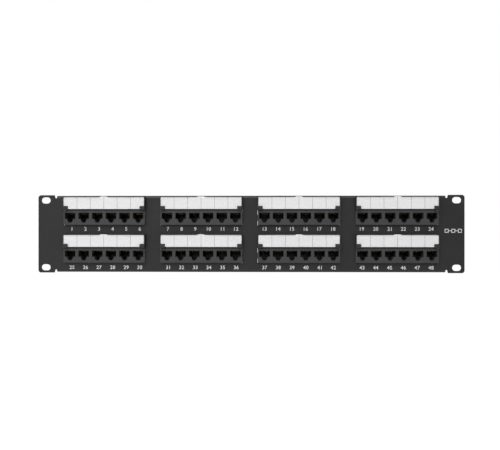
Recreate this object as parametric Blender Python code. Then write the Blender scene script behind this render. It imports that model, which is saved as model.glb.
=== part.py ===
"""A 48-port patch panel, two rack units high: a folded steel faceplate carrying eight six-port modules.

Frame: the origin is the middle of the faceplate's rear face, the plane that meets the rack rails.
+X points right as seen from the front, +Z points up, and the front of the panel faces -Y.
Units are metres; the dimensions below are written in millimetres times MM.

Each module is an assembly of its own. A jack housing snaps through a faceplate window from behind;
an insert with the spring contacts closes its rear, in front of a circuit board and a block with two
rows of punch-down slots. Above the jacks a label holder clips to the front of the faceplate, with a
card behind a clear cover that hinges down on two lugs.
"""

import math

import bmesh
import bpy

MM = 0.001
GAP = 0.3 * MM  # clearance between pieces that touch on the real panel

# Faceplate
PANEL_WIDTH = 482.6 * MM
EAR_HEIGHT = 88.1 * MM
SHEET = 1.5 * MM
CHANNEL_HALF_HEIGHT = 43.4 * MM
CHANNEL_HALF_WIDTH = 220.1 * MM
FLANGE_DEPTH = 15.0 * MM
BEND_RADIUS = 2.8 * MM
RELIEF_X = 221.5 * MM
RELIEF_HALF_WIDTH = 1.4 * MM
RELIEF_TIP_HALF_WIDTH = 0.5 * MM
EAR_CORNER_RADIUS = 3.0 * MM
RACK_SLOT_X = 465.1 / 2 * MM
RACK_SLOT_Z = 76.2 / 2 * MM
RACK_SLOT_LENGTH = 10.4 * MM
RACK_SLOT_HEIGHT = 7.1 * MM

# Places of the eight modules; a module's own zero is the middle of its label card's top edge
COLUMN_PITCH = 110.2 * MM
COLUMNS = 4
ROW_TOPS = (41.7 * MM, -1.1 * MM)

# Jack openings
PORTS = 6
PORT_PITCH = 15.5 * MM
PLUG_HALF_WIDTH = 5.95 * MM
PLUG_TOP = -17.8 * MM
PLUG_BOTTOM = -24.8 * MM
LATCH_HALF_WIDTH = 3.2 * MM
LATCH_STEP = -27.1 * MM
LATCH_TIP_HALF_WIDTH = 2.1 * MM
LATCH_BOTTOM = -28.9 * MM

# Jack housing: a block through the faceplate window, with ledges behind it and a barb at each end
HOUSING_FRONT = -4.6 * MM
HOUSING_REAR = 14.5 * MM
HOUSING_HALF_WIDTH = 46.3 * MM
HOUSING_TOP = -15.2 * MM
HOUSING_BOTTOM = -31.5 * MM
LEDGE_HEIGHT = 1.4 * MM
LEDGE_THICKNESS = 1.8 * MM
BARB_REACH = 0.8 * MM
BARB_LENGTH = 1.8 * MM
BARB_TOP = -20.0 * MM
BARB_BOTTOM = -27.0 * MM
POCKET_HALF_WIDTH = 44.2 * MM
POCKET_TOP = -17.0 * MM
POCKET_BOTTOM = -29.6 * MM
POCKET_FRONT = 11.0 * MM

# Label holder: a tray in front of the faceplate, with rims, two hinge lugs and two barbed pegs
HOLDER_BACK = -SHEET - GAP
HOLDER_HALF_WIDTH = 46.6 * MM
HOLDER_TOP = 0.7 * MM
HOLDER_BOTTOM = HOUSING_TOP + GAP
TRAY_FRONT = -5.2 * MM
RIM_FRONT = -6.9 * MM
RIM_WIDTH = 0.7 * MM
TOP_RIM_HEIGHT = 0.45 * MM
LUG_WIDTH = 5.6 * MM
LUG_TOP = -10.4 * MM
LUG_FRONT = -8.0 * MM
LUG_CHAMFER = 0.8 * MM
PEG_X = 30.0 * MM
PEG_Z = -7.5 * MM
PEG_HALF_WIDTH = 3.0 * MM
PEG_HALF_HEIGHT = 0.9 * MM
PEG_REAR = 2.2 * MM
PEG_BARB = 0.9 * MM

# Label card and its hinged cover
CARD_HALF_WIDTH = 45.6 * MM
CARD_HEIGHT = 13.45 * MM
CARD_THICKNESS = 0.4 * MM
CARD_BACK = TRAY_FRONT - GAP
CORNER_RADIUS = 1.0 * MM
TAB_HALF_WIDTH = 4.2 * MM
TAB_HEIGHT = 0.9 * MM
COVER_HEIGHT = 13.2 * MM
COVER_THICKNESS = 1.0 * MM
COVER_BACK = CARD_BACK - CARD_THICKNESS - GAP
HINGE_Y = COVER_BACK - COVER_THICKNESS / 2
HINGE_Z = -12.65 * MM
PIN_RADIUS = 0.55 * MM
PIN_LENGTH = 2.4 * MM
PIN_SIDES = 8

# Contact insert and circuit board behind the jacks
WIRE_THICKNESS = 0.6 * MM
WIRE_HALF_SPREAD = 3.9 * MM
WIRE_TOP = -18.1 * MM
WIRE_FRONT = 3.4 * MM
WIRE_END_Y = 10.2 * MM
WIRE_END_Z = -22.7 * MM
BOARD_FRONT = HOUSING_REAR + GAP
BOARD_THICKNESS = 1.6 * MM
BOARD_HALF_WIDTH = 45.5 * MM
BOARD_TOP = -2.7 * MM
BOARD_BOTTOM = -39.7 * MM
BOARD_CORNER = 1.5 * MM

# Punch-down block: a base plate behind the board, with two rows of slots for the cable's wires
BASE_FRONT = BOARD_FRONT + BOARD_THICKNESS + GAP
BASE_THICKNESS = 2.0 * MM
BASE_HALF_WIDTH = 45.2 * MM
BASE_MARGIN = 0.8 * MM
ROW_REAR = BASE_FRONT + 14.0 * MM
ROW_HALF_WIDTH = 44.8 * MM
ROW_HEIGHT = 10.0 * MM
ROW_MIDDLES = (-10.7 * MM, -31.7 * MM)
BLOCKS = 3
BLOCK_PITCH = 29.8 * MM
SLOTS_PER_BLOCK = 8
SLOT_PITCH = 3.6 * MM
SLOT_WIDTH = 1.1 * MM
SLOT_DEPTH = 8.0 * MM
PARTING_WIDTH = 0.6 * MM
PARTING_DEPTH = 11.0 * MM

OVERLAP = 0.5 * MM  # how far shapes that are joined into one piece, or cut from it, run into it
ARC_STEPS = 4  # straight segments in a quarter of a round corner


# ---------------------------------------------------------------- outlines, solids and Booleans

def arc(centre, radius, start, end, steps=ARC_STEPS):
    """Points along an arc about centre, from one angle to another, in degrees."""
    points = []
    for step in range(steps + 1):
        angle = math.radians(start + (end - start) * step / steps)
        points.append((centre[0] + radius * math.cos(angle), centre[1] + radius * math.sin(angle)))
    return points


def obround(centre, length, height):
    """A slot's outline with round ends, lying along its first coordinate."""
    radius = height / 2
    reach = length / 2 - radius
    right = arc((centre[0] + reach, centre[1]), radius, -90, 90, 2 * ARC_STEPS)
    left = arc((centre[0] - reach, centre[1]), radius, 90, 270, 2 * ARC_STEPS)
    return right + left


def rectangle(low, high):
    """A rectangle's four corners, from its lowest corner and its highest."""
    return [(low[0], low[1]), (high[0], low[1]), (high[0], high[1]), (low[0], high[1])]


def mirrored(points):
    """The points followed by their mirror images across the first coordinate's zero."""
    return points + [(-u, v) for u, v in reversed(points)]


def prism(outline, axis, start, end):
    """A closed mesh: the outline carried along an axis. Outlines are (y, z), (x, z) or (x, y)."""
    point = {
        "X": lambda u, v, along: (along, u, v),
        "Y": lambda u, v, along: (u, along, v),
        "Z": lambda u, v, along: (u, v, along),
    }[axis]
    bm = bmesh.new()
    first = [bm.verts.new(point(u, v, start)) for u, v in outline]
    last = [bm.verts.new(point(u, v, end)) for u, v in outline]
    bm.faces.new(first)
    bm.faces.new(last)
    for index in range(len(outline)):
        after = (index + 1) % len(outline)
        bm.faces.new((first[index], first[after], last[after], last[index]))
    bmesh.ops.recalc_face_normals(bm, faces=bm.faces)
    mesh = bpy.data.meshes.new("prism")
    bm.to_mesh(mesh)
    bm.free()
    return mesh


def block(x_range, y_range, z_range):
    """A box between pairs of coordinates."""
    return prism(rectangle((x_range[0], z_range[0]), (x_range[1], z_range[1])), "Y", *y_range)


def combine(body, tools, operation):
    """The body's mesh after each tool's mesh is joined to it (UNION) or cut from it (DIFFERENCE)."""
    worked = bpy.data.objects.new("worked", body)
    bpy.context.scene.collection.objects.link(worked)
    for tool in tools:
        other = bpy.data.objects.new("tool", tool)
        bpy.context.scene.collection.objects.link(other)
        step = worked.modifiers.new("step", "BOOLEAN")
        step.operation = operation
        step.solver = "EXACT"
        step.object = other
    evaluated = worked.evaluated_get(bpy.context.evaluated_depsgraph_get())
    result = bpy.data.meshes.new_from_object(evaluated)
    for temporary in [worked] + [step.object for step in worked.modifiers]:
        bpy.data.objects.remove(temporary)
    for mesh in [body, *tools]:
        bpy.data.meshes.remove(mesh)
    return result


def union(*meshes):
    return combine(meshes[0], meshes[1:], "UNION")


def cut(body, *tools):
    return combine(body, tools, "DIFFERENCE")


# ---------------------------------------------------------------- materials and objects

def material(name, colour, roughness, metallic=0.0, alpha=1.0):
    """A Principled material with one colour, roughness and metallic value."""
    made = bpy.data.materials.new(name)
    made.use_nodes = True
    shader = made.node_tree.nodes["Principled BSDF"]
    shader.inputs["Base Color"].default_value = (*colour, 1.0)
    shader.inputs["Roughness"].default_value = roughness
    shader.inputs["Metallic"].default_value = metallic
    shader.inputs["Alpha"].default_value = alpha
    return made


def place(name, mesh, finish, location=(0.0, 0.0, 0.0)):
    """A named object at a place, sharing its mesh with any other copy of the same piece."""
    if not mesh.materials:
        mesh.materials.append(finish)
    piece = bpy.data.objects.new(name, mesh)
    piece.location = location
    bpy.context.scene.collection.objects.link(piece)
    return piece


# ---------------------------------------------------------------- the sub-parts

def channel_profile():
    """The faceplate's middle in (y, z): the front web, both bends and both flanges folded back."""
    inner_radius = BEND_RADIUS - SHEET
    bend = (-SHEET + BEND_RADIUS, CHANNEL_HALF_HEIGHT - BEND_RADIUS)
    outer = arc(bend, BEND_RADIUS, 180, 90) + [(FLANGE_DEPTH, CHANNEL_HALF_HEIGHT)]
    inner = [(FLANGE_DEPTH, CHANNEL_HALF_HEIGHT - SHEET)] + arc(bend, inner_radius, 90, 180)
    upper = outer + inner
    lower = [(y, -z) for y, z in reversed(upper)]
    return upper + lower


def ear_outline():
    """The right-hand ear in (x, z): round outer corners, and the relief that frees each bend."""
    half = EAR_HEIGHT / 2
    right = PANEL_WIDTH / 2
    tip = CHANNEL_HALF_HEIGHT - BEND_RADIUS
    centre = (right - EAR_CORNER_RADIUS, half - EAR_CORNER_RADIUS)
    upper = arc(centre, EAR_CORNER_RADIUS, 0, 90)
    upper.append((RELIEF_X + RELIEF_HALF_WIDTH, half))
    upper.append((RELIEF_X + RELIEF_TIP_HALF_WIDTH, tip))
    upper.append((CHANNEL_HALF_WIDTH - BEND_RADIUS, tip))
    lower = [(x, -z) for x, z in reversed(upper)]
    return upper + lower


def module_places():
    """The (x, z) of each module's zero, left to right along the upper row and then the lower."""
    return [
        ((column - (COLUMNS - 1) / 2) * COLUMN_PITCH, top)
        for top in ROW_TOPS
        for column in range(COLUMNS)
    ]


def faceplate_mesh():
    """Folded sheet steel: two slotted ears, eight windows and a pair of peg slots above each one."""
    channel = prism(channel_profile(), "X", -CHANNEL_HALF_WIDTH, CHANNEL_HALF_WIDTH)
    right_ear = prism(ear_outline(), "Y", -SHEET, 0.0)
    left_ear = prism([(-x, z) for x, z in ear_outline()], "Y", -SHEET, 0.0)
    plate = union(channel, right_ear, left_ear)

    through = (-2 * SHEET, SHEET)
    holes = []
    for x in (-RACK_SLOT_X, RACK_SLOT_X):
        for z in (-RACK_SLOT_Z, RACK_SLOT_Z):
            holes.append(prism(obround((x, z), RACK_SLOT_LENGTH, RACK_SLOT_HEIGHT), "Y", *through))
    for x, top in module_places():
        low = (x - HOUSING_HALF_WIDTH - GAP, top + HOUSING_BOTTOM - GAP)
        high = (x + HOUSING_HALF_WIDTH + GAP, top + HOUSING_TOP + GAP)
        holes.append(prism(rectangle(low, high), "Y", *through))
        for peg in (x - PEG_X, x + PEG_X):
            low = (peg - PEG_HALF_WIDTH - GAP, top + PEG_Z - PEG_HALF_HEIGHT - GAP)
            high = (peg + PEG_HALF_WIDTH + GAP, top + PEG_Z + PEG_HALF_HEIGHT + GAP)
            holes.append(prism(rectangle(low, high), "Y", *through))
    return cut(plate, *holes)


def jack_outline(centre):
    """A jack opening in (x, z): the plug's width above, and the two-step latch notch below it."""
    half = [
        (PLUG_HALF_WIDTH, PLUG_TOP),
        (PLUG_HALF_WIDTH, PLUG_BOTTOM),
        (LATCH_HALF_WIDTH, PLUG_BOTTOM),
        (LATCH_HALF_WIDTH, LATCH_STEP),
        (LATCH_TIP_HALF_WIDTH, LATCH_STEP),
        (LATCH_TIP_HALF_WIDTH, LATCH_BOTTOM),
    ]
    return [(centre + x, z) for x, z in mirrored(half)]


def port_centres():
    return [(port - (PORTS - 1) / 2) * PORT_PITCH for port in range(PORTS)]


def jack_housing_mesh():
    """The moulded body of one module, with six jack cavities open to a pocket in its rear."""
    solid = block(
        (-HOUSING_HALF_WIDTH, HOUSING_HALF_WIDTH),
        (HOUSING_FRONT, HOUSING_REAR),
        (HOUSING_BOTTOM, HOUSING_TOP),
    )
    ledges = block(
        (-HOUSING_HALF_WIDTH, HOUSING_HALF_WIDTH),
        (GAP, GAP + LEDGE_THICKNESS),
        (HOUSING_BOTTOM - LEDGE_HEIGHT, HOUSING_TOP + LEDGE_HEIGHT),
    )
    barbs = []
    for side in (-1, 1):
        wedge = [
            (side * (HOUSING_HALF_WIDTH - OVERLAP), -SHEET - GAP),
            (side * (HOUSING_HALF_WIDTH + BARB_REACH), -SHEET - GAP),
            (side * (HOUSING_HALF_WIDTH - OVERLAP), -SHEET - GAP - BARB_LENGTH),
        ]
        barbs.append(prism(wedge, "Z", BARB_BOTTOM, BARB_TOP))
    body = union(solid, ledges, *barbs)

    cavities = [
        prism(jack_outline(centre), "Y", HOUSING_FRONT - OVERLAP, POCKET_FRONT + OVERLAP)
        for centre in port_centres()
    ]
    pocket = block(
        (-POCKET_HALF_WIDTH, POCKET_HALF_WIDTH),
        (POCKET_FRONT, HOUSING_REAR + OVERLAP),
        (POCKET_BOTTOM, POCKET_TOP),
    )
    return cut(body, *cavities, pocket)


def lug_profile():
    """A hinge lug in (y, z), with its two front edges chamfered."""
    back = TRAY_FRONT + OVERLAP
    return [
        (back, HOLDER_BOTTOM),
        (LUG_FRONT + LUG_CHAMFER, HOLDER_BOTTOM),
        (LUG_FRONT, HOLDER_BOTTOM + LUG_CHAMFER),
        (LUG_FRONT, LUG_TOP - LUG_CHAMFER),
        (LUG_FRONT + LUG_CHAMFER, LUG_TOP),
        (back, LUG_TOP),
    ]


def peg_profile():
    """A peg in (y, z): straight through its slot, then a barb that hooks up behind the faceplate."""
    low = PEG_Z - PEG_HALF_HEIGHT
    high = PEG_Z + PEG_HALF_HEIGHT
    return [
        (HOLDER_BACK - OVERLAP, low),
        (PEG_REAR, low),
        (PEG_REAR, high - PEG_HALF_HEIGHT),
        (GAP, high + PEG_BARB),
        (GAP, high),
        (HOLDER_BACK - OVERLAP, high),
    ]


def label_holder_mesh():
    """The tray that the card lies in: rims at its sides and top, and lugs that carry the cover."""
    rim_inner = HOLDER_HALF_WIDTH - RIM_WIDTH
    lug_inner = HOLDER_HALF_WIDTH - LUG_WIDTH
    rim_depth = (RIM_FRONT, TRAY_FRONT + OVERLAP)
    pieces = [
        block(
            (-HOLDER_HALF_WIDTH, HOLDER_HALF_WIDTH),
            (TRAY_FRONT, HOLDER_BACK),
            (HOLDER_BOTTOM, HOLDER_TOP),
        )
    ]
    for side in (-1, 1):
        side_rim = sorted((side * rim_inner, side * HOLDER_HALF_WIDTH))
        top_rim = sorted((side * (TAB_HALF_WIDTH + 2 * GAP), side * (HOLDER_HALF_WIDTH - OVERLAP)))
        pieces.append(block(side_rim, rim_depth, (LUG_TOP - OVERLAP, HOLDER_TOP)))
        pieces.append(block(top_rim, rim_depth, (HOLDER_TOP - TOP_RIM_HEIGHT, HOLDER_TOP)))
        pieces.append(prism(lug_profile(), "X", side * lug_inner, side * HOLDER_HALF_WIDTH))
        peg = side * PEG_X
        pieces.append(prism(peg_profile(), "X", peg - PEG_HALF_WIDTH, peg + PEG_HALF_WIDTH))
    holder = union(*pieces)

    pin_holes = []
    for side in (-1, 1):
        bore = arc((HINGE_Y, HINGE_Z), PIN_RADIUS + GAP, 0, 360 - 360 / PIN_SIDES, PIN_SIDES - 1)
        depth = (side * (lug_inner - OVERLAP), side * (lug_inner + PIN_LENGTH + GAP))
        pin_holes.append(prism(bore, "X", *depth))
    return cut(holder, *pin_holes)


def strip_outline(half_width, bottom, tab_half_width, tab_height):
    """The card's or the cover's outline in (x, z): tab above, and lower corners clear of the lugs."""
    notch = HOLDER_HALF_WIDTH - LUG_WIDTH - GAP
    corner = (half_width - CORNER_RADIUS, -CORNER_RADIUS)
    right = [(notch, bottom), (notch, LUG_TOP + GAP), (half_width, LUG_TOP + GAP)]
    right += arc(corner, CORNER_RADIUS, 0, 90, 3)
    right += [(tab_half_width, 0.0), (tab_half_width - tab_height, tab_height)]
    return mirrored(right)


def label_card_mesh():
    """A white card ruled into six fields, which lies in the tray behind the cover."""
    outline = strip_outline(CARD_HALF_WIDTH, -CARD_HEIGHT, TAB_HALF_WIDTH - GAP, TAB_HEIGHT - GAP)
    return prism(outline, "Y", CARD_BACK - CARD_THICKNESS, CARD_BACK)


def label_cover_mesh():
    """A clear cover, drawn about its own hinge axis, with a pin at each end of its lower edge."""
    outline = strip_outline(CARD_HALF_WIDTH, -COVER_HEIGHT, TAB_HALF_WIDTH, TAB_HEIGHT)
    half_thickness = COVER_THICKNESS / 2
    pane = prism([(x, z - HINGE_Z) for x, z in outline], "Y", -half_thickness, half_thickness)
    pane_end = HOLDER_HALF_WIDTH - LUG_WIDTH - GAP
    pins = []
    for side in (-1, 1):
        circle = arc((0.0, 0.0), PIN_RADIUS, 0, 360 - 360 / PIN_SIDES, PIN_SIDES - 1)
        pins.append(prism(circle, "X", side * (pane_end - OVERLAP), side * (pane_end + PIN_LENGTH)))
    return union(pane, *pins)


def contact_insert_mesh():
    """The bar that closes the rear of the cavities, with a bent comb of spring wires for each jack."""
    half_width = POCKET_HALF_WIDTH - GAP
    front = POCKET_FRONT + GAP
    bar = block(
        (-half_width, half_width),
        (front, HOUSING_REAR),
        (POCKET_BOTTOM + GAP, POCKET_TOP - GAP),
    )
    under = WIRE_TOP - WIRE_THICKNESS
    half_thickness = WIRE_THICKNESS / 2
    bent_wire = [
        (front + OVERLAP, WIRE_TOP),
        (WIRE_FRONT, WIRE_TOP),
        (WIRE_FRONT, under),
        (WIRE_END_Y - half_thickness, WIRE_END_Z - half_thickness),
        (WIRE_END_Y, WIRE_END_Z + half_thickness),
        (WIRE_FRONT + 3 * WIRE_THICKNESS, under),
        (front + OVERLAP, under),
    ]
    combs = [
        prism(bent_wire, "X", centre - WIRE_HALF_SPREAD, centre + WIRE_HALF_SPREAD)
        for centre in port_centres()
    ]
    return union(bar, *combs)


def circuit_board_mesh():
    """The board that joins the spring contacts to the punch-down slots."""
    outline = mirrored([
        (BOARD_HALF_WIDTH - BOARD_CORNER, BOARD_BOTTOM),
        (BOARD_HALF_WIDTH, BOARD_BOTTOM + BOARD_CORNER),
        (BOARD_HALF_WIDTH, BOARD_TOP - BOARD_CORNER),
        (BOARD_HALF_WIDTH - BOARD_CORNER, BOARD_TOP),
    ])
    return prism(outline, "Y", BOARD_FRONT, BOARD_FRONT + BOARD_THICKNESS)


def slot_row_outline():
    """One row in (x, y): three blocks of eight slots, with a parting cut between blocks."""
    grooves = []
    for number in range(BLOCKS):
        middle = (number - (BLOCKS - 1) / 2) * BLOCK_PITCH
        if number:
            grooves.append((middle - BLOCK_PITCH / 2, PARTING_WIDTH / 2, PARTING_DEPTH))
        for slot in range(SLOTS_PER_BLOCK):
            centre = middle + (slot - (SLOTS_PER_BLOCK - 1) / 2) * SLOT_PITCH
            grooves.append((centre, SLOT_WIDTH / 2, SLOT_DEPTH))
    front = BASE_FRONT + OVERLAP
    outline = [(ROW_HALF_WIDTH, ROW_REAR), (ROW_HALF_WIDTH, front), (-ROW_HALF_WIDTH, front)]
    outline.append((-ROW_HALF_WIDTH, ROW_REAR))
    for centre, half_width, depth in grooves:
        outline.append((centre - half_width, ROW_REAR))
        outline.append((centre - half_width, ROW_REAR - depth))
        outline.append((centre + half_width, ROW_REAR - depth))
        outline.append((centre + half_width, ROW_REAR))
    return outline


def punch_down_block_mesh():
    """The moulded block on the cable side: a base plate under two rows of punch-down slots."""
    base = block(
        (-BASE_HALF_WIDTH, BASE_HALF_WIDTH),
        (BASE_FRONT, BASE_FRONT + BASE_THICKNESS),
        (BOARD_BOTTOM + BASE_MARGIN, BOARD_TOP - BASE_MARGIN),
    )
    rows = [
        prism(slot_row_outline(), "Z", middle - ROW_HEIGHT / 2, middle + ROW_HEIGHT / 2)
        for middle in ROW_MIDDLES
    ]
    return union(base, *rows)


# ---------------------------------------------------------------- the assembly

def build():
    for old in list(bpy.data.objects):
        bpy.data.objects.remove(old)

    black_paint = material("black_paint", (0.030, 0.029, 0.029), 0.55)
    grey_plastic = material("grey_plastic", (0.050, 0.047, 0.048), 0.50)
    black_plastic = material("black_plastic", (0.030, 0.030, 0.031), 0.45)
    white_card = material("white_card", (0.86, 0.86, 0.87), 0.60)
    clear_plastic = material("clear_plastic", (0.95, 0.95, 0.95), 0.10, alpha=0.25)
    spring_metal = material("spring_metal", (0.80, 0.60, 0.25), 0.30, metallic=1.0)
    green_board = material("green_board", (0.02, 0.16, 0.07), 0.45)

    place("faceplate", faceplate_mesh(), black_paint)
    module = {
        "jack_housing": (jack_housing_mesh(), grey_plastic),
        "label_holder": (label_holder_mesh(), black_plastic),
        "label_card": (label_card_mesh(), white_card),
        "contact_insert": (contact_insert_mesh(), spring_metal),
        "circuit_board": (circuit_board_mesh(), green_board),
        "punch_down_block": (punch_down_block_mesh(), black_plastic),
    }
    cover = label_cover_mesh()
    for number, (x, top) in enumerate(module_places(), start=1):
        for name, (mesh, finish) in module.items():
            place(f"{name}_{number}", mesh, finish, (x, 0.0, top))
        place(f"label_cover_{number}", cover, clear_plastic, (x, HINGE_Y, top + HINGE_Z))


build()
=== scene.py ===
"""The looks of a 48-port patch panel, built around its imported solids.

Lengths are in metres, or in millimetres times MM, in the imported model's frame: +X right as seen from
the front, +Z up, jacks facing -Y, origin in the middle of the faceplate's rear face.
"""

import math

import bmesh
import bpy
from mathutils import Matrix, Vector


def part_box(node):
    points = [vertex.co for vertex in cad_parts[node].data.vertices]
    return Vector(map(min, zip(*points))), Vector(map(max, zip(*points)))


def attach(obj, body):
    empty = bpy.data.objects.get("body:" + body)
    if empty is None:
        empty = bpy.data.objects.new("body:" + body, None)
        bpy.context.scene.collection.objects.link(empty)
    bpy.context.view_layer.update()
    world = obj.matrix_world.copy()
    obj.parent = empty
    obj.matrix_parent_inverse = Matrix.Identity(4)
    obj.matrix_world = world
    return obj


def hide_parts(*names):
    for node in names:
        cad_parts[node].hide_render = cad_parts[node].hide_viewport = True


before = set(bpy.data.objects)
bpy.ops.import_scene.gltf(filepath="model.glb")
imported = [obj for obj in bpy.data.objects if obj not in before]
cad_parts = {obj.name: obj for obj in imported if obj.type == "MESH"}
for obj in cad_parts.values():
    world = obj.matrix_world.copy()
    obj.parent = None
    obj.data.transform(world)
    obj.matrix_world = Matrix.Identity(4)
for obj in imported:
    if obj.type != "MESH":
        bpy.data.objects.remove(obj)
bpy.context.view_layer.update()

MM = 0.001
PANEL = "panel"
MODULES = range(1, 9)
PORTS = 6
PORT_PITCH = 15.5 * MM


# ---------------------------------------------------------------- meshes

def box_of(node):
    """A CAD node's box as its middle, low corner and high corner."""
    low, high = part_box(node)
    return (low + high) / 2, low, high


def rectangle(x_range, z_range):
    """A rectangle's corners, anticlockwise."""
    left, right = x_range
    bottom, top = z_range
    return [(left, bottom), (right, bottom), (right, top), (left, top)]


def prism(outline, axis, start, end):
    """A closed mesh: an outline in (y, z), (x, z) or (x, y) carried along the remaining axis."""
    point = {
        "X": lambda u, v, along: (along, u, v),
        "Y": lambda u, v, along: (u, along, v),
        "Z": lambda u, v, along: (u, v, along),
    }[axis]
    bm = bmesh.new()
    first = [bm.verts.new(point(u, v, start)) for u, v in outline]
    last = [bm.verts.new(point(u, v, end)) for u, v in outline]
    bm.faces.new(first)
    bm.faces.new(last)
    for index in range(len(outline)):
        after = (index + 1) % len(outline)
        bm.faces.new((first[index], first[after], last[after], last[index]))
    bmesh.ops.recalc_face_normals(bm, faces=bm.faces)
    return to_mesh(bm)


def block(x_range, y_range, z_range):
    """A box from its two ends along each axis."""
    return prism(rectangle(x_range, z_range), "Y", *y_range)


def to_mesh(bm, name="shape"):
    mesh = bpy.data.meshes.new(name)
    bm.to_mesh(mesh)
    bm.free()
    return mesh


def together(meshes, name="shapes"):
    """One mesh that holds several separate closed shapes."""
    bm = bmesh.new()
    for mesh in meshes:
        bm.from_mesh(mesh)
    return to_mesh(bm, name)


def tube(path, radius, sides=8):
    """A closed round wire along a path of (y, z) points at x = 0."""
    bm = bmesh.new()
    rings = []
    for index, (y, z) in enumerate(path):
        before = path[max(index - 1, 0)]
        after = path[min(index + 1, len(path) - 1)]
        along = Vector((0.0, after[0] - before[0], after[1] - before[1])).normalized()
        across = Vector((0.0, -along.z, along.y))
        ring = []
        for side in range(sides):
            angle = 2 * math.pi * side / sides
            offset = Vector((1.0, 0.0, 0.0)) * math.cos(angle) + across * math.sin(angle)
            ring.append(bm.verts.new(Vector((0.0, y, z)) + offset * radius))
        rings.append(ring)
    for one, other in zip(rings, rings[1:]):
        for side in range(sides):
            after = (side + 1) % sides
            bm.faces.new((one[side], one[after], other[after], other[side]))
    bm.faces.new(rings[0])
    bm.faces.new(rings[-1])
    bmesh.ops.recalc_face_normals(bm, faces=bm.faces)
    for face in bm.faces:
        face.smooth = len(face.verts) == 4
    return to_mesh(bm)


def moved(mesh, offset):
    copy = mesh.copy()
    copy.transform(Matrix.Translation(Vector(offset)))
    return copy


# ---------------------------------------------------------------- edges

def smooth_faces():
    """A modifier's node group that shades every face smooth."""
    group = bpy.data.node_groups.new("smooth_faces", "GeometryNodeTree")
    group.interface.new_socket("Geometry", in_out="INPUT", socket_type="NodeSocketGeometry")
    group.interface.new_socket("Geometry", in_out="OUTPUT", socket_type="NodeSocketGeometry")
    start = group.nodes.new("NodeGroupInput")
    smooth = group.nodes.new("GeometryNodeSetShadeSmooth")
    end = group.nodes.new("NodeGroupOutput")
    group.links.new(start.outputs[0], smooth.inputs["Geometry"])
    group.links.new(smooth.outputs[0], end.inputs[0])
    return group


SMOOTH = smooth_faces()


WELD_DISTANCE = 0.002 * MM
FLAT_ANGLE = math.radians(0.5)
SHARP_ANGLE = math.radians(35)
BEVEL_SEGMENTS = 2


def soften(piece, width):
    """Rounds a piece's sharp edges by modifiers, and keeps its flat faces flat."""
    weld = piece.modifiers.new("weld", "WELD")
    weld.merge_threshold = WELD_DISTANCE
    flat = piece.modifiers.new("flat", "DECIMATE")
    flat.decimate_type = "DISSOLVE"
    flat.angle_limit = FLAT_ANGLE
    smooth = piece.modifiers.new("smooth", "NODES")
    smooth.node_group = SMOOTH
    bevel = piece.modifiers.new("bevel", "BEVEL")
    bevel.width = width
    bevel.segments = BEVEL_SEGMENTS
    bevel.limit_method = "ANGLE"
    bevel.angle_limit = SHARP_ANGLE
    normals = piece.modifiers.new("normals", "WEIGHTED_NORMAL")
    normals.keep_sharp = False


# ---------------------------------------------------------------- materials

class Finish:
    """A Principled material whose colour, roughness and bump come from nodes on object coordinates."""

    def __init__(self, name, colour, roughness, metallic=0.0, specular=0.5):
        self.material = bpy.data.materials.new(name)
        self.material.use_nodes = True
        self.tree = self.material.node_tree
        self.shader = self.tree.nodes["Principled BSDF"]
        self.shader.inputs["Base Color"].default_value = (*colour, 1.0)
        self.shader.inputs["Roughness"].default_value = roughness
        self.shader.inputs["Metallic"].default_value = metallic
        self.shader.inputs["Specular IOR Level"].default_value = specular
        self.place = self.tree.nodes.new("ShaderNodeTexCoord").outputs["Object"]

    def node(self, kind, **values):
        made = self.tree.nodes.new("ShaderNode" + kind)
        for name, value in values.items():
            if name in made.inputs:
                made.inputs[name].default_value = value
            else:
                setattr(made, name, value)
        return made

    def link(self, output, target):
        self.tree.links.new(output, target)

    def noise(self, size, detail=3.0, stretch=(1.0, 1.0, 1.0)):
        """Noise whose grains are about one size across, in metres."""
        mapping = self.node("Mapping", Scale=stretch)
        self.link(self.place, mapping.inputs["Vector"])
        texture = self.node("TexNoise", Scale=1.0 / size, Detail=detail)
        self.link(mapping.outputs["Vector"], texture.inputs["Vector"])
        return texture.outputs["Fac"]

    def between(self, factor, low, high, start=0.3, end=0.7):
        """A factor's stretch from start to end made to run from low to high."""
        mapped = self.node("MapRange")
        for name, value in (("From Min", start), ("From Max", end), ("To Min", low), ("To Max", high)):
            mapped.inputs[name].default_value = value
        self.link(factor, mapped.inputs["Value"])
        return mapped.outputs["Result"]

    def tint(self, factor, low, high):
        """The colour runs from low to high with the factor."""
        mix = self.node("Mix", data_type="RGBA")
        mix.inputs[6].default_value = (*low, 1.0)
        mix.inputs[7].default_value = (*high, 1.0)
        self.link(self.between(factor, 0.0, 1.0), mix.inputs["Factor"])
        self.link(mix.outputs[2], self.shader.inputs["Base Color"])

    def shine(self, factor, low, high):
        self.link(self.between(factor, low, high), self.shader.inputs["Roughness"])

    def bump(self, *layers):
        """Height layers, each (factor, depth in metres), the finest last."""
        normal = None
        for factor, depth in layers:
            made = self.node("Bump", Distance=depth, Strength=1.0)
            self.link(factor, made.inputs["Height"])
            if normal is not None:
                self.link(normal, made.inputs["Normal"])
            normal = made.outputs["Normal"]
        self.link(normal, self.shader.inputs["Normal"])


def black_paint():
    """Black powder coat: fine orange peel, with a slow drift in shade and gloss."""
    paint = Finish("black_paint", (0.0175, 0.0168, 0.0171), 0.42)
    drift = paint.noise(38 * MM, 2.0)
    paint.tint(drift, (0.0158, 0.0150, 0.0154), (0.0196, 0.0187, 0.0191))
    paint.shine(paint.noise(3.1 * MM), 0.38, 0.47)
    paint.bump((paint.noise(1.3 * MM, 2.0), 0.018 * MM), (paint.noise(0.32 * MM, 2.0), 0.006 * MM))
    return paint.material


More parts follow.
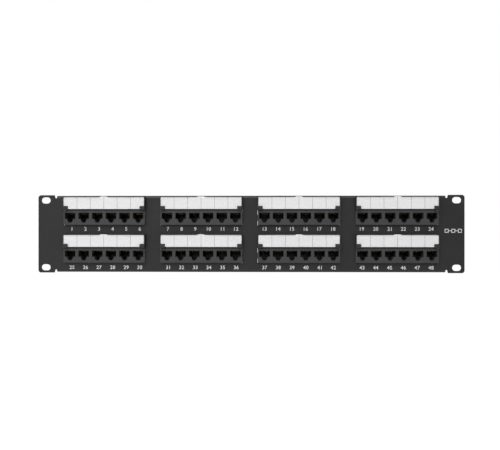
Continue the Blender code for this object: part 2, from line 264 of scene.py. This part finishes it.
def grey_plastic():
    """Dark grey moulded ABS with a spark-eroded texture."""
    plastic = Finish("grey_plastic", (0.046, 0.045, 0.045), 0.5)
    plastic.tint(plastic.noise(17 * MM, 2.0), (0.043, 0.042, 0.042), (0.049, 0.048, 0.048))
    plastic.shine(plastic.noise(0.9 * MM), 0.46, 0.58)
    plastic.bump((plastic.noise(0.55 * MM, 4.0), 0.012 * MM), (plastic.noise(0.16 * MM), 0.004 * MM))
    return plastic.material


def black_plastic():
    """Black moulded ABS, a little glossier than the jacks."""
    plastic = Finish("black_plastic", (0.024, 0.024, 0.025), 0.42)
    plastic.tint(plastic.noise(12 * MM, 2.0), (0.021, 0.021, 0.022), (0.027, 0.027, 0.028))
    plastic.shine(plastic.noise(1.4 * MM), 0.36, 0.48)
    plastic.bump((plastic.noise(0.7 * MM, 3.0), 0.008 * MM), (plastic.noise(0.2 * MM), 0.003 * MM))
    return plastic.material


def paper(name, low, high):
    """Uncoated card: mottled shade, and fibres that lie along the sheet."""
    card = Finish(name, high, 0.62, specular=0.3)
    card.tint(card.noise(1.9 * MM, 4.0, (1.0, 1.0, 1.7)), low, high)
    card.shine(card.noise(2.4 * MM), 0.56, 0.70)
    card.bump((card.noise(0.5 * MM, 4.0, (0.45, 1.0, 1.0)), 0.010 * MM))
    return card.material


def white_ink():
    """Screen-printed white ink, slightly uneven over the paint's texture."""
    ink = Finish("white_ink", (0.72, 0.72, 0.72), 0.45)
    ink.tint(ink.noise(0.5 * MM, 3.0), (0.66, 0.66, 0.66), (0.78, 0.78, 0.78))
    ink.bump((ink.noise(1.3 * MM, 2.0), 0.012 * MM))
    return ink.material


def print_grey():
    """Grey ink of the lines between a card's fields."""
    ink = Finish("print_grey", (0.30, 0.30, 0.31), 0.6, specular=0.3)
    ink.tint(ink.noise(0.8 * MM, 3.0), (0.25, 0.25, 0.26), (0.36, 0.36, 0.37))
    return ink.material


def clear_plastic():
    """Clear polycarbonate: thin, glossy, with faint moulding waves."""
    clear = Finish("clear_plastic", (0.96, 0.97, 0.98), 0.06, specular=0.6)
    clear.shader.inputs["Alpha"].default_value = 0.10
    clear.shine(clear.noise(9 * MM, 2.0), 0.04, 0.10)
    clear.bump((clear.noise(14 * MM, 1.0), 0.010 * MM))
    return clear.material


def gold_metal():
    """Gold-plated spring wire with faint drawing lines."""
    gold = Finish("gold_metal", (0.86, 0.62, 0.25), 0.26, metallic=1.0)
    gold.tint(gold.noise(1.5 * MM, 2.0), (0.80, 0.56, 0.22), (0.90, 0.67, 0.30))
    gold.shine(gold.noise(0.4 * MM, 2.0, (1.0, 0.1, 0.1)), 0.20, 0.36)
    gold.bump((gold.noise(0.12 * MM, 2.0, (1.0, 0.08, 0.08)), 0.002 * MM))
    return gold.material


def tin_metal():
    """Tin-plated contact blades, satin with small stains."""
    tin = Finish("tin_metal", (0.74, 0.73, 0.70), 0.34, metallic=1.0)
    tin.tint(tin.noise(0.9 * MM), (0.62, 0.61, 0.57), (0.80, 0.79, 0.77))
    tin.shine(tin.noise(0.5 * MM), 0.28, 0.45)
    tin.bump((tin.noise(0.25 * MM), 0.003 * MM))
    return tin.material


def green_board():
    """Glass-epoxy board under green solder mask, with copper tracks showing through."""
    board = Finish("green_board", (0.012, 0.10, 0.045), 0.30)
    tracks = board.node("TexBrick", Scale=1.0 / (2.4 * MM), offset=0.37)
    for name, value in (("Mortar Size", 0.10), ("Brick Width", 3.5), ("Row Height", 0.45), ("Bias", 0.0)):
        tracks.inputs[name].default_value = value
    board.link(board.place, tracks.inputs["Vector"])
    board.tint(tracks.outputs["Fac"], (0.010, 0.085, 0.036), (0.022, 0.15, 0.062))
    board.shine(board.noise(4 * MM), 0.26, 0.38)
    board.bump((tracks.outputs["Fac"], 0.03 * MM), (board.noise(0.6 * MM), 0.004 * MM))
    return board.material


def code_colour(name, colour):
    """A moulded or printed wire-code colour."""
    code = Finish(name, colour, 0.5, specular=0.4)
    code.tint(code.noise(1.1 * MM), [0.88 * c for c in colour], [min(1.0, 1.08 * c) for c in colour])
    code.bump((code.noise(0.4 * MM), 0.006 * MM))
    return code.material


PAINT = black_paint()
GREY = grey_plastic()
BLACK = black_plastic()
CARD = paper("white_card", (0.90, 0.90, 0.91), (0.96, 0.96, 0.97))
CELL = paper("cell_print", (0.865, 0.855, 0.865), (0.915, 0.905, 0.915))
INK = white_ink()
RULING = print_grey()
CLEAR = clear_plastic()
GOLD = gold_metal()
TIN = tin_metal()
BOARD = green_board()


# ---------------------------------------------------------------- pieces

def piece(name, mesh, finish, place=(0.0, 0.0, 0.0), body=PANEL, slot=None):
    """A new piece that rides on a body, with one material."""
    if not mesh.materials:
        mesh.materials.append(finish)
    made = bpy.data.objects.new(name, mesh)
    made.location = place
    bpy.context.scene.collection.objects.link(made)
    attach(made, body)
    return made


CARD_BELOW_HOLDER = 0.7 * MM


def module_place(number):
    """A module's zero: the middle of its circuit board in x, and its label card's top edge in z."""
    middle = box_of(f"circuit_board_{number}")[0]
    card_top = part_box(f"label_holder_{number}")[1].z - CARD_BELOW_HOLDER
    return Vector((middle.x, 0.0, card_top))


def dress_frame():
    """Better materials and rounded edges on the CAD nodes that stay in view."""
    looks = {
        "faceplate": (PAINT, 0.18),
        "jack_housing": (GREY, 0.22),
        "label_holder": (BLACK, 0.14),
        "label_card": (CARD, 0.03),
        "label_cover": (CLEAR, 0.10),
        "circuit_board": (BOARD, 0.08),
    }
    for name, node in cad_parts.items():
        kind = name.rstrip("0123456789").rstrip("_")
        if kind in looks:
            finish, width = looks[kind]
            for slot in node.material_slots:
                slot.material = finish
            soften(node, width * MM)


# ---- printed numbers and mark

NUMBER_HEIGHT = 4.2 * MM
INK_THICKNESS = 0.03 * MM
NUMBER_COLUMN_PITCH = 109.7 * MM
NUMBER_SHIFT = 0.5 * MM
NUMBER_DROPS = (36.0 * MM, 36.9 * MM)  # below the label cards' top edges, upper and lower row
BOLDER = 0.11 * MM


def lettering(text, height, bolder):
    """Extruded digits that stand in the XZ plane, centred on zero and facing -Y."""
    curve = bpy.data.curves.new("lettering", "FONT")
    curve.body = text
    curve.align_x = "CENTER"
    curve.size = height / 0.72
    curve.space_character = 1.06
    curve.offset = bolder
    curve.extrude = INK_THICKNESS / 2
    curve.resolution_u = 5
    shown = bpy.data.objects.new("lettering", curve)
    bpy.context.scene.collection.objects.link(shown)
    mesh = bpy.data.meshes.new_from_object(shown.evaluated_get(bpy.context.evaluated_depsgraph_get()))
    bpy.data.objects.remove(shown)
    mesh.materials.clear()
    xs = [vert.co.x for vert in mesh.vertices]
    ys = [vert.co.y for vert in mesh.vertices]
    middle = Vector(((min(xs) + max(xs)) / 2, (min(ys) + max(ys)) / 2, 0.0))
    scale = height / (max(ys) - min(ys))
    stand = Matrix.Rotation(math.pi / 2, 4, "X")
    mesh.transform(stand @ Matrix.Diagonal((scale, scale, 1.0, 1.0)) @ Matrix.Translation(-middle))
    return mesh


def port_numbers():
    """1 to 48 in white under the jacks."""
    front = sheet_front() - INK_THICKNESS / 2
    meshes = []
    for number in MODULES:
        column = (number - 1) % 4
        row = (number - 1) // 4
        z = module_place(number).z - NUMBER_DROPS[row]
        for port in range(PORTS):
            x = (column - 1.5) * NUMBER_COLUMN_PITCH + (port - 2.5) * PORT_PITCH + NUMBER_SHIFT
            digits = lettering(str((number - 1) * PORTS + port + 1), NUMBER_HEIGHT, BOLDER)
            meshes.append(moved(digits, (x, front, z)))
    piece("port_numbers", together(meshes), INK)


def sheet_front():
    """The y of the faceplate's front face, between the ears' screws and the modules."""
    low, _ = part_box("faceplate")
    return low.y


MARK_MIDDLE = (228.6 * MM, 3.6 * MM)
MARK_SQUARE = 4.3 * MM
MARK_LINK = 3.1 * MM
MARK_LINE = 0.75 * MM


def network_mark():
    """Three linked squares, a plain sign for a network, on the right-hand ear."""
    depth = (sheet_front() - INK_THICKNESS, sheet_front())
    half = MARK_SQUARE / 2
    inner = half - MARK_LINE
    shapes = []
    for index in (-1, 0, 1):
        x = MARK_MIDDLE[0] + index * (MARK_SQUARE + MARK_LINK)
        z = MARK_MIDDLE[1]
        full_height = (z - half, z + half)
        shapes.append(block((x - half, x - inner), depth, full_height))
        shapes.append(block((x + inner, x + half), depth, full_height))
        shapes.append(block((x - inner, x + inner), depth, (z + inner, z + half)))
        shapes.append(block((x - inner, x + inner), depth, (z - half, z - inner)))
        if index < 1:
            line = (z - MARK_LINE / 2, z + MARK_LINE / 2)
            shapes.append(block((x + half, x + half + MARK_LINK), depth, line))
    piece("network_mark", together(shapes), INK)


# ---- print on the label cards

CELLS = 6
BORDER = 1.1 * MM
RULE_WIDTH = 0.45 * MM
PRINT_LIFT = 0.02 * MM
PRINT_THICKNESS = 0.03 * MM
CARD_HEIGHT = 13.45 * MM
LUG_NOTCH = 5.0 * MM  # cut from the fields' lower corners, where the holder's lugs are
LUG_HEIGHT = 3.35 * MM
RULE_MARGIN = 0.25 * MM


def label_print():
    """Six tinted fields and the five grey lines between them, just proud of the card."""
    _, low, high = box_of("label_card_1")
    half = (high.x - low.x) / 2
    front = low.y - PRINT_LIFT
    depth = (front - PRINT_THICKNESS, front)
    pitch = 2 * half / CELLS
    bottom = BORDER - CARD_HEIGHT
    top_of_lug = -CARD_HEIGHT + LUG_HEIGHT + BORDER
    lug_side = half - LUG_NOTCH - BORDER
    rule_height = (RULE_MARGIN - CARD_HEIGHT, -RULE_MARGIN)
    cells = []
    rules = []
    for index in range(CELLS):
        left = -half + index * pitch + (BORDER if index == 0 else RULE_WIDTH)
        right = -half + (index + 1) * pitch - (BORDER if index == CELLS - 1 else RULE_WIDTH)
        outline = [(left, -BORDER), (right, -BORDER)]
        if index == CELLS - 1:
            outline += [(right, top_of_lug), (lug_side, top_of_lug), (lug_side, bottom)]
        else:
            outline += [(right, bottom)]
        if index == 0:
            outline += [(-lug_side, bottom), (-lug_side, top_of_lug), (left, top_of_lug)]
        else:
            outline += [(left, bottom)]
        cells.append(prism(outline, "Y", *depth))
        if index:
            x = -half + index * pitch
            rules.append(block((x - RULE_WIDTH / 2, x + RULE_WIDTH / 2), depth, rule_height))
    cell_mesh = together(cells)
    rule_mesh = together(rules)
    for number in MODULES:
        place = module_place(number)
        piece(f"label_fields_{number}", cell_mesh, CELL, place, slot="white_card")
        piece(f"label_ruling_{number}", rule_mesh, RULING, place, slot="white_card")


# ---- spring contacts and their carrier

WIRE_PITCH = 1.02 * MM
WIRE_RADIUS = 0.2 * MM
WIRES = 8
WIRE_TOP = -18.4 * MM
WIRE_FRONT = 3.9 * MM
WIRE_END = (9.9 * MM, -22.3 * MM)
BEND = 0.45 * MM
BEND_STEPS = 6
BAR_FRONT = 11.3 * MM
RIB_HALF = 0.16 * MM
RIB_DEPTH = 1.2 * MM
RIB_BOTTOM = -24.0 * MM
RIB_TOP = WIRE_TOP - 0.6 * MM
WIRE_ROOT = 1.0 * MM  # inside the carrier's rear face


def port_centres():
    """The six jacks' x within their module."""
    return [(port - (PORTS - 1) / 2) * PORT_PITCH for port in range(PORTS)]


def wire_centres():
    """The eight wires' x within their jack."""
    return [(index - (WIRES - 1) / 2) * WIRE_PITCH for index in range(WIRES)]


def spring_wire_path(root):
    """From the carrier forward under the cavity's roof, round a tight bend, then back and down."""
    centre = (WIRE_FRONT + BEND, WIRE_TOP - BEND)
    slope = math.degrees(math.atan2(WIRE_END[1] - centre[1], WIRE_END[0] - centre[0]))
    path = [(root, WIRE_TOP)]
    for step in range(BEND_STEPS + 1):
        angle = math.radians(90 + (180 + slope) * step / BEND_STEPS)
        path.append((centre[0] + BEND * math.cos(angle), centre[1] + BEND * math.sin(angle)))
    path.append(WIRE_END)
    return path


def contacts():
    """A black carrier with ribs between the wires, and 48 gold spring wires, in each module."""
    _, low, high = box_of("contact_insert_1")
    place = module_place(1)
    half = (high.x - low.x) / 2
    rear = high.y
    height = (low.z - place.z, high.z - place.z)
    ribbed = [(-half, rear), (-half, BAR_FRONT)]
    for port in port_centres():
        for index in range(WIRES + 1):
            x = port + (index - WIRES / 2) * WIRE_PITCH
            ribbed += [(x - RIB_HALF, BAR_FRONT), (x - RIB_HALF, BAR_FRONT - RIB_DEPTH)]
            ribbed += [(x + RIB_HALF, BAR_FRONT - RIB_DEPTH), (x + RIB_HALF, BAR_FRONT)]
    ribbed += [(half, BAR_FRONT), (half, rear)]
    comb = prism(ribbed, "Z", RIB_BOTTOM, RIB_TOP)
    bar = block((-half, half), (BAR_FRONT, rear), height)
    carrier = together([bar, comb])
    wire = tube(spring_wire_path(rear - WIRE_ROOT), WIRE_RADIUS)
    wires = together([moved(wire, (port + x, 0.0, 0.0)) for port in port_centres() for x in wire_centres()])
    for number in MODULES:
        place = module_place(number)
        made = piece(f"contact_carrier_{number}", carrier, BLACK, place, slot="black_plastic")
        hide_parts(f"contact_insert_{number}")
        piece(f"spring_wires_{number}", wires, GOLD, place, slot="spring_metal")


# ---- punch-down blocks

ROW_MIDDLES = (-10.7 * MM, -31.7 * MM)
ROW_HEIGHT = 10.0 * MM
BLOCKS = 3
BLOCK_PITCH = 29.8 * MM
SLOTS = 8
SLOT_PITCH = 3.6 * MM
SLOT_WIDTH = 1.0 * MM
SLOT_DEPTH = 7.6 * MM
POCKET_WIDTH = 2.3 * MM
POCKET_HEIGHT = 1.3 * MM
POCKET_FLARE = 0.3 * MM
SEAM = 0.01 * MM
LEAD_IN = 0.75 * MM
LOW_TOOTH = 1.6 * MM
BASE_THICKNESS = 2.0 * MM


def slot_centres():
    """The 24 slots' x within their row."""
    middles = [(number - (BLOCKS - 1) / 2) * BLOCK_PITCH for number in range(BLOCKS)]
    return [middle + (slot - (SLOTS - 1) / 2) * SLOT_PITCH for middle in middles for slot in range(SLOTS)]


PARTING_HALF = 0.3 * MM
PARTING_DEPTH = 10.0 * MM
ROW_INSET = 0.4 * MM
ROOT_OVERLAP = 0.5 * MM


def tooth_row(half_width, front, rear, slot_width, flare):
    """A row's outline in (x, y): slots with flared mouths, low pointed teeth inside each wire pair."""
    outline = [(half_width, front), (-half_width, front)]
    outline += [(-half_width, rear - flare), (flare - half_width, rear)]
    centres = slot_centres()
    for index, centre in enumerate(centres):
        left = centre - slot_width / 2
        right = centre + slot_width / 2
        second = index % 2
        top_left = rear - LOW_TOOTH if second else rear
        top_right = rear if second else rear - LOW_TOOTH
        outline += [(left - flare, top_left), (left, top_left - flare), (left, rear - SLOT_DEPTH)]
        outline += [(right, rear - SLOT_DEPTH), (right, top_right - flare), (right + flare, top_right)]
        if second and (index + 1) % SLOTS == 0 and index + 1 < len(centres):
            parting = centre + BLOCK_PITCH / 2 - (SLOTS - 1) / 2 * SLOT_PITCH
            outline += [(parting - PARTING_HALF, rear), (parting - PARTING_HALF, rear - PARTING_DEPTH)]
            outline += [(parting + PARTING_HALF, rear - PARTING_DEPTH), (parting + PARTING_HALF, rear)]
    outline += [(half_width - flare, rear), (half_width, rear - flare)]
    return outline


def punch_block_mesh(half_width, front, rear, bottom, top):
    """A base with two slotted rows, each with a wider pocket at mid height for its blades."""
    shapes = [block((-half_width, half_width), (front, front + BASE_THICKNESS), (bottom, top))]
    row_half = half_width - ROW_INSET
    root = front + BASE_THICKNESS - ROOT_OVERLAP
    side = ROW_HEIGHT / 2
    pocket = POCKET_HEIGHT / 2
    narrow = tooth_row(row_half, root, rear, SLOT_WIDTH, LEAD_IN)
    wide = tooth_row(row_half, root, rear, POCKET_WIDTH, POCKET_FLARE)
    for middle in ROW_MIDDLES:
        shapes.append(prism(narrow, "Z", middle - side, middle - pocket))
        shapes.append(prism(wide, "Z", middle - pocket + SEAM, middle + pocket - SEAM))
        shapes.append(prism(narrow, "Z", middle + pocket, middle + side))
    return together(shapes)


BLADE_TIP = 2.6 * MM  # in front of the teeth's tips
BLADE_ROOT = 8.6 * MM
BLADE_HALF = 1.05 * MM
PRONG_POINT = 0.65 * MM
PRONG_SHOULDER = 0.4 * MM
SLIT_HALF = 0.14 * MM
SLIT_MOUTH = 1.1 * MM
SLIT_FLOOR = 1.2 * MM
BLADE_HALF_THICKNESS = 0.2 * MM


def contact_blade(rear):
    """A forked blade across a slot: two sharp prongs with a slit for the wire."""
    tip = rear - BLADE_TIP
    root = rear - BLADE_ROOT
    outline = [
        (-BLADE_HALF, root),
        (BLADE_HALF, root),
        (BLADE_HALF, tip - PRONG_SHOULDER),
        (PRONG_POINT, tip),
        (SLIT_HALF, tip - SLIT_MOUTH),
        (SLIT_HALF, root + SLIT_FLOOR),
        (-SLIT_HALF, root + SLIT_FLOOR),
        (-SLIT_HALF, tip - SLIT_MOUTH),
        (-PRONG_POINT, tip),
        (-BLADE_HALF, tip - PRONG_SHOULDER),
    ]
    return prism(outline, "Z", -BLADE_HALF_THICKNESS, BLADE_HALF_THICKNESS)


CODE_COLOURS = {
    "code_blue": (0.02, 0.09, 0.42),
    "code_orange": (0.80, 0.20, 0.02),
    "code_green": (0.02, 0.28, 0.07),
    "code_brown": (0.16, 0.065, 0.025),
}


STRIP_LIFT = 0.02 * MM
STRIP_REAR = 0.15 * MM
STRIP_HEIGHT = 3.7 * MM
STRIP_INSET = 0.6 * MM
STRIP_GAP = 0.9 * MM  # between a strip and its row
FIELD_HALF = 1.6 * MM
FIELD_MARGIN = 0.3 * MM
FIELD_THICKNESS = 0.04 * MM
STRIPE_HALF = 0.42 * MM
STRIPE_HEIGHTS = (0.28, 0.72)  # of the strip's height


def colour_code(half_width, base_rear):
    """For each row, a white strip with one coloured field for each slot: striped, then solid, in pairs."""
    white = []
    coloured = {name: [] for name in CODE_COLOURS}
    depth = (base_rear + STRIP_LIFT, base_rear + STRIP_REAR)
    above = (depth[1], depth[1] + FIELD_THICKNESS)
    names = list(CODE_COLOURS)
    under_upper_row = ROW_MIDDLES[0] - ROW_HEIGHT / 2 - STRIP_GAP - STRIP_HEIGHT
    over_lower_row = ROW_MIDDLES[1] + ROW_HEIGHT / 2 + STRIP_GAP
    for bottom in (under_upper_row, over_lower_row):
        top = bottom + STRIP_HEIGHT
        white.append(block((STRIP_INSET - half_width, half_width - STRIP_INSET), depth, (bottom, top)))
        for index, centre in enumerate(slot_centres()):
            name = names[(index % SLOTS) // 2]
            across = (centre - FIELD_HALF, centre + FIELD_HALF)
            if index % 2:
                coloured[name].append(block(across, above, (bottom + FIELD_MARGIN, top - FIELD_MARGIN)))
            else:
                for part in STRIPE_HEIGHTS:
                    middle = bottom + part * STRIP_HEIGHT
                    coloured[name].append(block(across, above, (middle - STRIPE_HALF, middle + STRIPE_HALF)))
    return together(white), {name: together(shapes) for name, shapes in coloured.items()}


PUNCH_EDGE = 0.12 * MM
REAR_NUMBER_HEIGHT = 2.0 * MM
REAR_NUMBER_BOLDER = 0.04 * MM
REAR_NUMBER_SIDE = 7.0 * MM
REAR_NUMBER_DROP = 21.2 * MM


def punch_downs():
    """The cable side of each module: block, tin-plated blades, colour code and port numbers."""
    _, low, high = box_of("punch_down_block_1")
    place = module_place(1)
    half_width = (high.x - low.x) / 2
    body = punch_block_mesh(half_width, low.y, high.y, low.z - place.z, high.z - place.z)
    blade = contact_blade(high.y)
    blades = together([moved(blade, (x, 0.0, z)) for x in slot_centres() for z in ROW_MIDDLES])
    white, coloured = colour_code(half_width, low.y + BASE_THICKNESS)
    finishes = {name: code_colour(name, colour) for name, colour in CODE_COLOURS.items()}
    digits = []
    turn = Matrix.Rotation(math.pi, 4, "Z")
    for number in MODULES:
        place = module_place(number)
        made = piece(f"punch_block_{number}", body, BLACK, place, slot="black_plastic")
        soften(made, PUNCH_EDGE)
        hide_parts(f"punch_down_block_{number}")
        piece(f"contact_blades_{number}", blades, TIN, place, slot="spring_metal")
        piece(f"code_strip_{number}", white, CARD, place, slot="white_card")
        for name, mesh in coloured.items():
            piece(f"{name}_{number}", mesh, finishes[name], place)
        for port in range(PORTS):
            text = lettering(str((number - 1) * PORTS + port + 1), REAR_NUMBER_HEIGHT, REAR_NUMBER_BOLDER)
            text.transform(turn)
            side = REAR_NUMBER_SIDE if port % 2 else -REAR_NUMBER_SIDE
            x = place.x + (port // 2 - 1) * BLOCK_PITCH + side
            y = low.y + BASE_THICKNESS + STRIP_LIFT
            digits.append(moved(text, (x, y, place.z - REAR_NUMBER_DROP)))
    piece("rear_numbers", together(digits), INK)


# ---------------------------------------------------------------- stage

WORLD_LIGHT = 0.34
FLOOR_GLOW = 0.85
FLOOR_Z = -0.30
FLOOR_HALF = 3.0
FLOOR_THICKNESS = 0.02


def flat_white(tree, shader_input, seen, felt):
    """Camera rays see one strength, and light bounces as another, so the ground stays plain white."""
    path = tree.nodes.new("ShaderNodeLightPath")
    strength = tree.nodes.new("ShaderNodeMapRange")
    strength.inputs["To Min"].default_value = felt
    strength.inputs["To Max"].default_value = seen
    tree.links.new(path.outputs["Is Camera Ray"], strength.inputs["Value"])
    tree.links.new(strength.outputs["Result"], shader_input)


def stage():
    """A plain white world and floor."""
    bpy.context.scene.view_settings.view_transform = "Standard"
    world = bpy.data.worlds.new("studio")
    bpy.context.scene.world = world
    world.use_nodes = True
    background = world.node_tree.nodes["Background"]
    background.inputs["Color"].default_value = (1.0, 1.0, 1.0, 1.0)
    flat_white(world.node_tree, background.inputs["Strength"], 1.0, WORLD_LIGHT)

    mesh = prism(rectangle((-FLOOR_HALF, FLOOR_HALF), (-FLOOR_THICKNESS, 0.0)), "Y", -FLOOR_HALF, FLOOR_HALF)
    floor_finish = Finish("floor", (0.8, 0.8, 0.8), 0.9, specular=0.1)
    floor_finish.tint(floor_finish.noise(0.4, 2.0), (0.79, 0.79, 0.79), (0.81, 0.81, 0.81))
    floor_finish.shader.inputs["Emission Color"].default_value = (1.0, 1.0, 1.0, 1.0)
    flat_white(floor_finish.tree, floor_finish.shader.inputs["Emission Strength"], FLOOR_GLOW, 0.0)
    mesh.materials.append(floor_finish.material)
    floor = bpy.data.objects.new("floor", mesh)
    floor.location.z = FLOOR_Z
    bpy.context.scene.collection.objects.link(floor)


def softbox(name, place, target, width, height, radiance):
    """A rectangular light that faces a point, with its brightness given as radiance."""
    light = bpy.data.lights.new(name, "AREA")
    light.shape = "RECTANGLE"
    light.size = width
    light.size_y = height
    light.energy = math.pi * width * height * radiance
    made = bpy.data.objects.new(name, light)
    made.location = place
    made.rotation_euler = (Vector(target) - Vector(place)).to_track_quat("-Z", "Y").to_euler()
    made.visible_camera = False
    bpy.context.scene.collection.objects.link(made)


CAMERA_DISTANCE = 650 * MM
CAMERA_SIDE = 12.6 * MM
CAMERA_HEIGHT = 10.1 * MM
VIEW_WIDTH = 566 * MM


def camera():
    """Level, and square on but for a degree of turn, so that the right-hand end is a little nearer."""
    lens = bpy.data.cameras.new("camera")
    lens.sensor_width = 36.0
    lens.lens = lens.sensor_width * CAMERA_DISTANCE / VIEW_WIDTH
    lens.clip_start = 0.02
    made = bpy.data.objects.new("camera", lens)
    made.location = (CAMERA_SIDE, sheet_front() - CAMERA_DISTANCE, CAMERA_HEIGHT)
    yaw = math.atan2(CAMERA_SIDE, CAMERA_DISTANCE)
    made.rotation_euler = (math.pi / 2, 0.0, yaw)
    bpy.context.scene.collection.objects.link(made)
    bpy.context.scene.camera = made


def lights():
    """A large key above the front, a weak sheen from the left, and one above the rear."""
    softbox("key", (-0.35, -0.95, 1.05), (0.0, 0.0, 0.0), 1.7, 1.0, 3.2)
    softbox("sheen", (-0.75, -1.05, 0.10), (-0.1, 0.0, 0.0), 0.8, 0.8, 0.25)
    softbox("rear_top", (0.3, 1.1, 0.9), (0.0, 0.0, 0.0), 1.4, 0.9, 1.6)


dress_frame()
port_numbers()
network_mark()
label_print()
contacts()
punch_downs()
stage()
camera()
lights()
